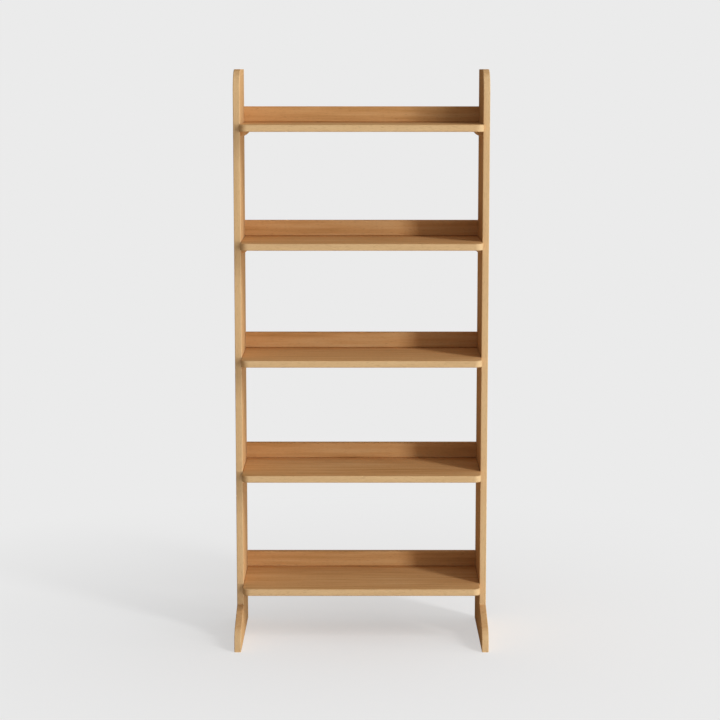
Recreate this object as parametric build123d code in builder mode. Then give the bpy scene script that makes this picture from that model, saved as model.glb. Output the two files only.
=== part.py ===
import os

from build123d import *

# Overall sizes in millimetres: +X to the right, the front faces -Y, +Z up from the floor
unit_width = 750
unit_height = 1702
panel_thickness = 20
panel_depth = 232
toe_reach = 154

# Side panel profile: a rounded crown, and a foot that slopes down to a rounded toe
crown_radius = 70
foot_rise = 104
toe_height = 57
toe_radius = 46
crook_radius = 4
edge_ease = 2

# Shelves, counted from the floor up: their ends fit between the panels
shelf_count = 5
shelf_thickness = 20
lowest_shelf_top = 169
top_shelf_drop = 159
shelf_overhang = 72
corner_radius = 22
shelf_bevel = 1.5
end_gap = 0.4

# Back lips: a tongue below each lip fits a groove along the back of its shelf
lip_thickness = 20
lip_rise = 48
lip_foot_bevel = 3
tongue_thickness = 8
tongue_depth = 8
tongue_gap = 0.2

# Cleats under the shelf ends, bevelled below and housed in the panels
cleat_width = 20
cleat_height = 15
cleat_bevel = 10
cleat_setback = 25
housing_depth = 4
housing_gap = 0.2

# Pan head screws, driven up through the cleats: the grip is the wood left under the head
screw_diameter = 4
screw_length = 20
screw_head_diameter = 7.5
screw_head_height = 2.6
screw_grip = 8
screw_gap = 0.15
screw_end_room = 1
head_gap = 0.4

# Places worked out from those sizes
panel_back = (panel_depth + toe_reach) / 2
panel_front = panel_back - panel_depth
toe_front = panel_front - toe_reach
panel_inner = unit_width / 2 - panel_thickness
span = 2 * (panel_inner - end_gap)
lip_middle = panel_back - lip_thickness / 2
shelf_front = panel_front - shelf_overhang
shelf_pitch = (unit_height - top_shelf_drop - lowest_shelf_top) / (shelf_count - 1)
shelf_tops = [lowest_shelf_top + level * shelf_pitch for level in range(shelf_count)]
cleat_front = panel_front + cleat_setback
cleat_length = panel_depth - 2 * cleat_setback
cleat_middle = cleat_front + cleat_length / 2
cleat_inner = panel_inner - cleat_width
screw_hole = screw_diameter / 2 + screw_gap
sides = {"left": -1, "right": 1}


# The screw's axis, pointing down, at a depth below the shelf's underside
def screw_planes(top, drop, chosen_sides):
    across = panel_inner - cleat_width / 2
    height = top - shelf_thickness - drop
    return [Plane(origin=(side * across, cleat_middle, height), z_dir=(0, 0, -1)) for side in chosen_sides]


os.makedirs("parts", exist_ok=True)

# Side panels: one outline with eased rims, and a housing for each cleat in the inner face
for name, side in sides.items():
    with BuildPart() as panel:
        with BuildSketch(Plane.YZ.offset(side * panel_inner)):
            with BuildLine():
                front_line = FilletPolyline(
                    (toe_front, 0),
                    (toe_front, toe_height),
                    (panel_front, foot_rise),
                    (panel_front, unit_height),
                    (panel_back, unit_height),
                    radius=[toe_radius, crook_radius, crown_radius],
                )
                Polyline(front_line @ 1, (panel_back, 0), front_line @ 0)
            make_face()
        extrude(amount=side * panel_thickness)
        fillet(panel.faces().filter_by(Axis.X).edges(), radius=edge_ease)
        with BuildSketch(Plane.YZ.offset(side * panel_inner)):
            with Locations(*[(cleat_middle, top - shelf_thickness - cleat_height / 2) for top in shelf_tops]):
                Rectangle(cleat_length + 2 * housing_gap, cleat_height + 2 * housing_gap)
        extrude(amount=side * (housing_depth + housing_gap), mode=Mode.SUBTRACT)
    panel.part.label = f"side_panel_{name}"
    export_step(panel.part, f"parts/side_panel_{name}.step")

# Shelves: rounded front corners, bevelled edges, and a groove along the back
for level, top in enumerate(shelf_tops, start=1):
    with BuildPart() as shelf:
        with BuildSketch(Plane.XY.offset(top - shelf_thickness)) as shelf_outline:
            with Locations((0, panel_back)):
                Rectangle(span, panel_back - shelf_front, align=(Align.CENTER, Align.MAX))
            fillet(shelf_outline.vertices().group_by(Axis.Y)[0], radius=corner_radius)
        extrude(amount=shelf_thickness)
        level_edges = shelf.edges().filter_by(Axis.Z, reverse=True)
        chamfer(level_edges.sort_by(Axis.Y)[:-2], length=shelf_bevel)
        with BuildSketch(Plane.YZ):
            with Locations((lip_middle, top)):
                Rectangle(
                    tongue_thickness + 2 * tongue_gap,
                    tongue_depth + tongue_gap,
                    align=(Align.CENTER, Align.MAX),
                )
        extrude(amount=span / 2, both=True, mode=Mode.SUBTRACT)
        with Locations(*screw_planes(top, 0, sides.values())):
            Hole(screw_hole, depth=screw_length - screw_grip + screw_end_room)
    shelf.part.label = f"shelf_{level}"
    export_step(shelf.part, f"parts/shelf_{level}.step")

# Back lips: boards that stand on the shelves, eased along the top and bevelled along the foot
for level, top in enumerate(shelf_tops, start=1):
    with BuildPart() as lip:
        with BuildSketch(Plane.YZ) as lip_profile:
            with Locations((lip_middle, top)):
                Rectangle(lip_thickness, lip_rise, align=(Align.CENTER, Align.MIN))
            fillet(lip_profile.vertices().group_by(Axis.Y)[-1].sort_by(Axis.X)[0], radius=edge_ease)
            chamfer(lip_profile.vertices().group_by(Axis.Y)[0].sort_by(Axis.X)[0], length=lip_foot_bevel)
            with Locations((lip_middle, top)):
                Rectangle(tongue_thickness, tongue_depth, align=(Align.CENTER, Align.MAX))
        extrude(amount=span / 2, both=True)
    lip.part.label = f"back_lip_{level}"
    export_step(lip.part, f"parts/back_lip_{level}.step")

# Cleats: battens that reach into the housings, with a counterbore for the screw
for level, top in enumerate(shelf_tops, start=1):
    underside = top - shelf_thickness
    for name, side in sides.items():
        with BuildPart() as cleat:
            with BuildSketch(Plane.XZ.offset(-cleat_front)):
                with BuildLine():
                    Polyline(
                        (side * (panel_inner + housing_depth), underside),
                        (side * cleat_inner, underside),
                        (side * cleat_inner, underside - cleat_height + cleat_bevel),
                        (side * (cleat_inner + cleat_bevel), underside - cleat_height),
                        (side * (panel_inner + housing_depth), underside - cleat_height),
                        close=True,
                    )
                make_face()
            extrude(amount=-cleat_length)
            with Locations(*screw_planes(top, cleat_height, [side])):
                CounterBoreHole(
                    screw_hole,
                    counter_bore_radius=screw_head_diameter / 2 + head_gap,
                    counter_bore_depth=cleat_height - screw_grip,
                    depth=cleat_height,
                )
        cleat.part.label = f"cleat_{name}_{level}"
        export_step(cleat.part, f"parts/cleat_{name}_{level}.step")

# One screw along Z, with the underside of its head at the origin
with BuildPart() as screw:
    with BuildSketch(Plane.XZ):
        with BuildLine():
            Polyline(
                (0, screw_head_height),
                (screw_head_diameter / 2, screw_head_height),
                (screw_head_diameter / 2, 0),
                (screw_diameter / 2, 0),
                (screw_diameter / 2, -screw_length),
                (0, -screw_length),
                close=True,
            )
        make_face()
    revolve(axis=Axis.Z)

# The screws that hold the shelves down on the cleats
with BuildPart() as shelf_screws:
    for top in shelf_tops:
        with Locations(*screw_planes(top, screw_grip, sides.values())):
            add(screw.part)
shelf_screws.part.label = "shelf_screws"
export_step(shelf_screws.part, "parts/shelf_screws.step")
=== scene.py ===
import math

import bpy
import numpy as np
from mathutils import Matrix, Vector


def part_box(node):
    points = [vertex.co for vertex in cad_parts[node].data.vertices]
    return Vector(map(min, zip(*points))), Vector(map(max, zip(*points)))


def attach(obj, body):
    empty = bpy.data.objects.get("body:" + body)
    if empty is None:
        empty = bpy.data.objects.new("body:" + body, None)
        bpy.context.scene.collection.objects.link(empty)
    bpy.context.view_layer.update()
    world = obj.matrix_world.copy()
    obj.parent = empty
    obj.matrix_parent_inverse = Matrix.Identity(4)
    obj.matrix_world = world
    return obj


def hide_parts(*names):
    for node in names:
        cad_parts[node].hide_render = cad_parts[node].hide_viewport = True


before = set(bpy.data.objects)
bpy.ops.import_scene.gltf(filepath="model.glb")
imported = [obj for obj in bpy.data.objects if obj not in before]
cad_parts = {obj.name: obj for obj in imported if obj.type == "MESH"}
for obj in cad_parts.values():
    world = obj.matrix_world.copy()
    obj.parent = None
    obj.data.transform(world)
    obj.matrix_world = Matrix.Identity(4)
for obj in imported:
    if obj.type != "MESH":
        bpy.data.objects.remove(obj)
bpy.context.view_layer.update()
scene = bpy.context.scene
scene.view_settings.view_transform = "Standard"
print("frame loaded, pieces:", len(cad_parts))


def hexColour(code):  # sRGB hex to linear RGBA
    srgb = np.array([int(code[i:i + 2], 16) for i in (1, 3, 5)]) / 255
    linear = np.where(srgb <= 0.04045, srgb / 12.92, ((srgb + 0.055) / 1.055) ** 2.4)
    return (*linear.tolist(), 1)


def addNode(tree, kind, inputs=None, links=None, **settings):  # a node with its values, links and settings
    node = tree.nodes.new(kind)
    for key, value in settings.items():
        setattr(node, key, value)
    for socket, value in (inputs or {}).items():
        node.inputs[socket].default_value = value
    for socket, source in (links or {}).items():
        tree.links.new(source, node.inputs[socket])
    return node


def newMaterial(name):
    material = bpy.data.materials.new(name)
    material.use_nodes = True
    material.node_tree.nodes.clear()
    return material, material.node_tree


# Lacquered oak: sawn on the rift, so the eye sees straight streaks along the board, a few mm
# to a few cm wide, with short open pores, under a thin matt lacquer that doesn't shine.
oak = {
    "dark": "#BB8A55", "mid": "#D0A06B", "light": "#DAB382", "pore": "#8A5A34",
    "darkAt": 0.43, "midAt": 0.67, "lightAt": 0.93,          # where each colour sits on the grain's tone
    "bandMm": 11, "bandDetail": 3, "bandRoughness": 0.6,     # growth bands, drawn wider than real to show
    "driftMm": 30, "driftWidthMm": 260, "driftLengthMm": 900,  # how far the bands wander, and over what
    "streakMm": 12, "streakLengthMm": 220,
    "cloudMm": 45, "cloudLengthMm": 480,
    "fibreMm": 2.2, "fibreLengthMm": 120,
    "bandShare": 0.27, "streakShare": 0.6, "cloudShare": 0.28, "fibreShare": 0.2,
    "poreMm": 0.9, "poreLengthMm": 14, "poreFrom": 0.6, "poreTo": 0.72, "poreShade": 0.35,
    "paintedLight": "#DFC092", "paintedLightShare": 0.88, "paintedLightFrom": 0.3,  # painted light: faces turned towards the soft boxes are painted paler
    "paintedLightDirection": (0.58, -0.78, 0.22),                        # direction of the painted light: towards the soft boxes, front right
    "roughness": 0.46, "poreRoughness": 0.62, "ior": 1.5, "gloss": 0.0,
    "reliefMm": 0.12, "reliefStrength": 0.5,
}
grainTurn = {"X": (0, 0, 0), "Y": (0, 0, -90), "Z": (0, 90, 0)}  # degrees that turn the grain onto X


def grainNoise(tree, grain, length, width, detail=2):  # noise drawn out to a streak's size in mm
    place = addNode(tree, "ShaderNodeVectorMath", {1: (1000 / length, 1000 / width, 1000 / width)},
                    {0: grain}, operation="MULTIPLY").outputs[0]
    return addNode(tree, "ShaderNodeTexNoise", {"Scale": 1, "Detail": detail}, {"Vector": place}).outputs[0]


def weighted(tree, layers):  # the layers added up, each by its weight
    total = None
    for layer, weight in layers:
        links = {0: layer} if total is None else {0: layer, 2: total}
        total = addNode(tree, "ShaderNodeMath", {1: weight, 2: 0}, links,
                        operation="MULTIPLY_ADD").outputs[0]
    return total


def oakMaterial(name, grainAlong, paintsLight=False):
    material, tree = newMaterial(name)
    place = addNode(tree, "ShaderNodeTexCoord").outputs["Object"]
    turn = [math.radians(angle) for angle in grainTurn[grainAlong]]
    grain = addNode(tree, "ShaderNodeMapping", {"Rotation": turn}, {"Vector": place}).outputs[0]

    drift = grainNoise(tree, grain, oak["driftLengthMm"], oak["driftWidthMm"])
    diagonal = (0, math.sqrt(0.5), math.sqrt(0.5))  # the bands lie aslant in the board's section
    across = addNode(tree, "ShaderNodeVectorMath", {1: diagonal}, {0: grain},
                     operation="DOT_PRODUCT").outputs["Value"]
    bandPlace = weighted(tree, [(across, 1000 / oak["bandMm"]), (drift, oak["driftMm"] / oak["bandMm"])])
    bands = addNode(tree, "ShaderNodeTexNoise",
                    {"Scale": 1, "Detail": oak["bandDetail"], "Roughness": oak["bandRoughness"]},
                    {"W": bandPlace}, noise_dimensions="1D").outputs[0]
    streaks = grainNoise(tree, grain, oak["streakLengthMm"], oak["streakMm"])
    cloud = grainNoise(tree, grain, oak["cloudLengthMm"], oak["cloudMm"])
    fibre = grainNoise(tree, grain, oak["fibreLengthMm"], oak["fibreMm"])
    poreNoise = grainNoise(tree, grain, oak["poreLengthMm"], oak["poreMm"], detail=1)
    pores = addNode(tree, "ShaderNodeMapRange", {"From Min": oak["poreFrom"], "From Max": oak["poreTo"]},
                    {"Value": poreNoise}).outputs[0]

    tone = weighted(tree, [(bands, oak["bandShare"]), (streaks, oak["streakShare"]),
                           (cloud, oak["cloudShare"]), (fibre, oak["fibreShare"])])
    ramp = addNode(tree, "ShaderNodeValToRGB", None, {0: tone})
    stops = ramp.color_ramp.elements
    stops[0].position, stops[0].color = oak["darkAt"], hexColour(oak["dark"])
    stops[1].position, stops[1].color = oak["lightAt"], hexColour(oak["light"])
    stops.new(oak["midAt"]).color = hexColour(oak["mid"])
    colour = ramp.outputs[0]
    # Painted light: the more a face turns towards the soft boxes, the more its colour is mixed with a paler
    # one
    if paintsLight:
        normal = addNode(tree, "ShaderNodeNewGeometry").outputs["Normal"]
        turned = addNode(tree, "ShaderNodeVectorMath", {1: oak["paintedLightDirection"]}, {0: normal},
                         operation="DOT_PRODUCT").outputs["Value"]
        paintedLightMix = addNode(tree, "ShaderNodeMapRange",
                           {"From Min": oak["paintedLightFrom"], "To Max": oak["paintedLightShare"]},
                           {"Value": turned}).outputs[0]
        colour = addNode(tree, "ShaderNodeMix", {7: hexColour(oak["paintedLight"])}, {0: paintedLightMix, 6: colour},
                         data_type="RGBA").outputs[2]
    poreShade = addNode(tree, "ShaderNodeMath", {1: oak["poreShade"]}, {0: pores},
                        operation="MULTIPLY").outputs[0]
    colour = addNode(tree, "ShaderNodeMix", {7: hexColour(oak["pore"])}, {0: poreShade, 6: colour},
                     data_type="RGBA").outputs[2]
    rough = addNode(tree, "ShaderNodeMapRange",
                    {"To Min": oak["roughness"], "To Max": oak["poreRoughness"]},
                    {"Value": pores}).outputs[0]
    relief = weighted(tree, [(fibre, 1), (pores, -1)])
    bump = addNode(tree, "ShaderNodeBump",
                   {"Strength": oak["reliefStrength"], "Distance": oak["reliefMm"] / 1000},
                   {"Height": relief}).outputs[0]
    shader = addNode(tree, "ShaderNodeBsdfPrincipled",
                     {"IOR": oak["ior"], "Specular IOR Level": oak["gloss"]},
                     {"Base Color": colour, "Roughness": rough, "Normal": bump})
    addNode(tree, "ShaderNodeOutputMaterial", None, {"Surface": shader.outputs[0]})
    return material


# Zinc-plated steel, passivated bright: a grey metal with faint cloudy patches
zinc = {"colour": "#C6C8C9", "patch": "#A9ABA8", "patchMm": 2.5, "patchDetail": 3, "roughness": 0.34}


def zincMaterial():
    material, tree = newMaterial("zincPlatedSteel")
    place = addNode(tree, "ShaderNodeTexCoord").outputs["Object"]
    patches = addNode(tree, "ShaderNodeTexNoise",
                      {"Scale": 1000 / zinc["patchMm"], "Detail": zinc["patchDetail"]},
                      {"Vector": place}).outputs[0]
    colour = addNode(tree, "ShaderNodeMix", {6: hexColour(zinc["colour"]), 7: hexColour(zinc["patch"])},
                     {0: patches}, data_type="RGBA").outputs[2]
    shader = addNode(tree, "ShaderNodeBsdfPrincipled", {"Metallic": 1, "Roughness": zinc["roughness"]},
                     {"Base Color": colour})
    addNode(tree, "ShaderNodeOutputMaterial", None, {"Surface": shader.outputs[0]})
    return material


def dress(start, material):  # the finish for every piece whose name starts so
    for name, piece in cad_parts.items():
        if name.startswith(start):
            piece.data.materials.clear()
            piece.data.materials.append(material)


# Panels and shelves get painted light: faces turned to the front-right soft boxes are painted paler
dress("side_panel", oakMaterial("lacqueredOakPanel", "Z", paintsLight=True))
dress("shelf_", oakMaterial("lacqueredOakShelf", "X", paintsLight=True))
dress("back_lip", oakMaterial("lacqueredOakLip", "X"))
dress("cleat", oakMaterial("lacqueredOakCleat", "Y"))
zincPlated = zincMaterial()
dress("shelf_screws", zincPlated)  # after the shelves, whose names start alike
print("finishes on every piece")

# Pan-head wood screws, driven up through the cleats and seen only from below
screw = {
    "lengthMm": 20, "radiusMm": 2.0, "pitchMm": 1.8, "threadMm": 0.55, "ridgePower": 3,
    "pointMm": 5, "pointShare": 0.03,     # length of the point, and what is left of the radius at the tip
    "headMm": 3.75, "headSideMm": 1.1, "headHeightMm": 2.6, "faceMm": 2.4, "faceMiddleMm": 0.05,
    "armMm": 1.9, "slotMm": 0.55, "slopeMm": 0.3, "recessMm": 1.5,
    "gripMm": 8, "fromCleatMm": 10,       # wood under the head, and the axis from the cleat's inner face
    "roundSteps": 40, "shankSteps": 110, "bendSteps": 10, "faceSteps": 22, "sharpDegrees": 40,
}


def screwAxes():  # where the head's underside sits on each cleat, in mm
    seats = []
    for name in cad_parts:
        if name.startswith("cleat"):
            low, high = np.array(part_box(name)) * 1000
            onLeft = name.startswith("cleat_left")
            across = high[0] - screw["fromCleatMm"] if onLeft else low[0] + screw["fromCleatMm"]
            seats.append((across, (low[1] + high[1]) / 2, high[2] - screw["gripMm"]))
    return np.array(seats)


def screwSurface():
    # Rows run from the tip to the middle of the head, columns round the axis. On the shank the radius is
    # the core plus a ridge that rises once in each pitch and turns with the angle, and both shrink to the
    # point. The head is a profile turned round the axis: a flat underside, a straight side, a quarter
    # ellipse and a flat face, in which two crossed slots with sloping sides sink to the recess's depth.
    turn = np.linspace(0, 2 * np.pi, screw["roundSteps"], endpoint=False)
    rise = np.linspace(screw["lengthMm"], 0, screw["shankSteps"])[:, None]
    phase = (rise / screw["pitchMm"] - turn / (2 * np.pi)) % 1
    ridge = (1 - np.abs(2 * phase - 1)) ** screw["ridgePower"]
    taper = np.clip((screw["lengthMm"] - rise) / screw["pointMm"], screw["pointShare"], 1)
    shank = taper * (screw["radiusMm"] - screw["threadMm"] * (1 - ridge))
    bend = np.linspace(0, np.pi / 2, screw["bendSteps"])
    face = np.linspace(screw["faceMm"], screw["faceMiddleMm"], screw["faceSteps"])[1:]
    domeWidth = screw["headMm"] - screw["faceMm"]
    domeHeight = screw["headHeightMm"] - screw["headSideMm"]
    headRadius = np.concatenate([[screw["headMm"]], screw["faceMm"] + domeWidth * np.cos(bend), face])
    headDrop = np.concatenate([[0], screw["headSideMm"] + domeHeight * np.sin(bend),
                               np.full(len(face), screw["headHeightMm"])])
    radius = np.vstack([shank, headRadius[:, None] * np.ones_like(turn)])
    height = np.vstack([rise * np.ones_like(turn), -headDrop[:, None] * np.ones_like(turn)])
    x, y = radius * np.cos(turn), radius * np.sin(turn)

    def slot(along, across):
        ends = np.clip((screw["armMm"] - np.abs(along)) / screw["slopeMm"], 0, 1)
        return ends * np.clip((screw["slotMm"] - np.abs(across)) / screw["slopeMm"], 0, 1)

    onFace = np.arange(len(radius))[:, None] >= len(radius) - len(face)
    height = height + onFace * screw["recessMm"] * np.maximum(slot(x, y), slot(y, x))
    return np.stack([x, y, height], axis=-1)


def shelfScrews():
    # The surface once on each axis: four-sided faces between rows and columns, and a cap at either end
    grid = screwSurface()
    rows, columns = grid.shape[:2]
    axes = screwAxes()
    points = (axes[:, None] + grid.reshape(1, -1, 3)).reshape(-1, 3) / 1000
    index = np.arange(rows * columns).reshape(rows, columns)
    after = np.roll(index, -1, axis=1)
    quads = np.stack([index[:-1], index[1:], after[1:], after[:-1]], axis=-1).reshape(-1, 4)
    ends = np.stack([index[0], index[-1][::-1]])
    starts = np.arange(len(axes))[:, None, None] * rows * columns
    faces = (starts + quads).reshape(-1, 4).tolist() + (starts + ends).reshape(-1, columns).tolist()
    mesh = bpy.data.meshes.new("shelfScrews")
    mesh.from_pydata(points.tolist(), [], faces)
    mesh.shade_smooth()
    mesh.set_sharp_from_angle(angle=math.radians(screw["sharpDegrees"]))
    mesh.materials.append(zincPlated)
    piece = bpy.data.objects.new("shelfScrews", mesh)
    scene.collection.objects.link(piece)
    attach(piece, "root")
    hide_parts("shelf_screws")


shelfScrews()
print("screws threaded")

# Seamless matt white paper as a floor: the background's colour everywhere, a light shadow near the unit
studio = {
    "pale": "#EBEBEB",       # what the camera sees of the room and of the floor far off
    "paper": "#F6F6F6",      # the floor that shows shadows
    "bounce": "#EAEAEA",     # the floor that sends light back up to the unit
    "shadowShare": 0.52,     # how much of the floor's shade comes from the lamps
    "glowGain": 1.14,        # makes up for the paper's shade close to the unit
    "shadeFrom": 0.1, "shadeTo": 2.0,   # metres from the unit's middle, between which both fade out
    "reach": 60, "rimPoints": 96,
}


def seenDirectly(tree):  # 1 for what the camera, mirrors and glass see, 0 for light on its way to the unit
    path = addNode(tree, "ShaderNodeLightPath").outputs
    direct = addNode(tree, "ShaderNodeMath", None, {0: path["Is Camera Ray"], 1: path["Is Glossy Ray"]},
                     operation="MAXIMUM").outputs[0]
    return addNode(tree, "ShaderNodeMath", None, {0: direct, 1: path["Is Transmission Ray"]},
                   operation="MAXIMUM").outputs[0]


def studioFloor():
    # A flat disc: its rim is the cosine and the sine of the angle, times the reach
    ring = np.linspace(0, 2 * np.pi, studio["rimPoints"], endpoint=False)
    points = np.column_stack([np.cos(ring), np.sin(ring), np.zeros_like(ring)]) * studio["reach"]
    mesh = bpy.data.meshes.new("studioFloor")
    mesh.from_pydata(points.tolist(), [], [list(range(len(ring)))])
    floor = bpy.data.objects.new("studioFloor", mesh)
    scene.collection.objects.link(floor)
    material, tree = newMaterial("mattWhitePaper")
    place = addNode(tree, "ShaderNodeTexCoord").outputs["Object"]
    away = addNode(tree, "ShaderNodeVectorMath", None, {0: place}, operation="LENGTH").outputs["Value"]
    share = addNode(tree, "ShaderNodeMapRange",
                    {"From Min": studio["shadeFrom"], "From Max": studio["shadeTo"],
                     "To Min": studio["shadowShare"], "To Max": 0}, {"Value": away}).outputs[0]
    paper = addNode(tree, "ShaderNodeBsdfDiffuse", {"Color": hexColour(studio["paper"])}).outputs[0]
    gain = addNode(tree, "ShaderNodeMapRange",
                   {"From Min": studio["shadeFrom"], "From Max": studio["shadeTo"],
                    "To Min": studio["glowGain"], "To Max": 1}, {"Value": away}).outputs[0]
    glow = addNode(tree, "ShaderNodeEmission", {"Color": hexColour(studio["pale"])},
                   {"Strength": gain}).outputs[0]
    shown = addNode(tree, "ShaderNodeMixShader", None, {0: share, 1: glow, 2: paper}).outputs[0]
    bounce = addNode(tree, "ShaderNodeBsdfDiffuse", {"Color": hexColour(studio["bounce"])}).outputs[0]
    mixed = addNode(tree, "ShaderNodeMixShader", None,
                    {0: seenDirectly(tree), 1: bounce, 2: shown}).outputs[0]
    addNode(tree, "ShaderNodeOutputMaterial", None, {"Surface": mixed})
    mesh.materials.append(material)


# The room sends most of its light from the right and the front
roomLight = {"colour": "#FFFFFF", "middle": 0.37, "lean": (0.25, -0.06, 0)}


def studioWorld():
    world = bpy.data.worlds.new("studioRoom")
    scene.world = world
    world.use_nodes = True
    tree = world.node_tree
    tree.nodes.clear()
    towards = addNode(tree, "ShaderNodeTexCoord").outputs["Generated"]
    lean = addNode(tree, "ShaderNodeVectorMath", {1: roomLight["lean"]}, {0: towards},
                   operation="DOT_PRODUCT").outputs["Value"]
    strength = addNode(tree, "ShaderNodeMath", {1: roomLight["middle"]}, {0: lean},
                       operation="ADD").outputs[0]
    room = addNode(tree, "ShaderNodeBackground", {"Color": hexColour(roomLight["colour"])},
                   {"Strength": strength}).outputs[0]
    pale = addNode(tree, "ShaderNodeBackground", {"Color": hexColour(studio["pale"])}).outputs[0]
    mixed = addNode(tree, "ShaderNodeMixShader", None,
                    {0: seenDirectly(tree), 1: room, 2: pale}).outputs[0]
    addNode(tree, "ShaderNodeOutputWorld", None, {"Surface": mixed})


# Soft boxes on the right, two one above the other and one at the side: degrees from the front towards +X,
# metres from the unit and above the floor, width and height of the box, and the light on the unit in W/m2
lamps = {
    "lowBox": {"bearing": 45.8, "away": 16, "height": 1.4, "size": (2.5, 2.8), "strength": 0.88},
    "highBox": {"bearing": 45.8, "away": 16, "height": 12.4, "size": (2.5, 9.0), "strength": 1.14},
    "sideBox": {"bearing": 81.5, "away": 16, "height": 2.3, "size": (2.0, 2.6), "strength": 0.5},
}
aimHeight = 0.85  # metres up the unit, where every box points


def addLamp(name, lamp):
    light = bpy.data.lights.new(name, "AREA")
    light.shape = "RECTANGLE"
    light.size, light.size_y = lamp["size"]
    rise = lamp["height"] - aimHeight
    light.energy = lamp["strength"] * math.pi * (lamp["away"] ** 2 + rise ** 2)
    turn = math.radians(lamp["bearing"])
    holder = bpy.data.objects.new(name, light)
    holder.location = (lamp["away"] * math.sin(turn), -lamp["away"] * math.cos(turn), lamp["height"])
    holder.rotation_euler = (math.pi / 2 - math.atan2(rise, lamp["away"]), 0, turn)
    holder.visible_camera = False
    scene.collection.objects.link(holder)


studioFloor()
studioWorld()
for name, lamp in lamps.items():
    addLamp(name, lamp)
print("floor and lamps placed")

# The photograph's view: 6 m away, level with the unit's top, looking slightly down
view = {"place": (-0.0045, -5.999, 1.6986), "downDegrees": 8.116,
        "lens": 101.55, "sensor": 36, "clipEnd": 200}
camera = bpy.data.objects.new("frontCamera", bpy.data.cameras.new("frontCamera"))
camera.location = view["place"]
camera.rotation_euler = (math.radians(90 - view["downDegrees"]), 0, 0)
camera.data.lens, camera.data.sensor_width = view["lens"], view["sensor"]
camera.data.clip_end = view["clipEnd"]
scene.collection.objects.link(camera)
scene.camera = camera
print("camera placed")
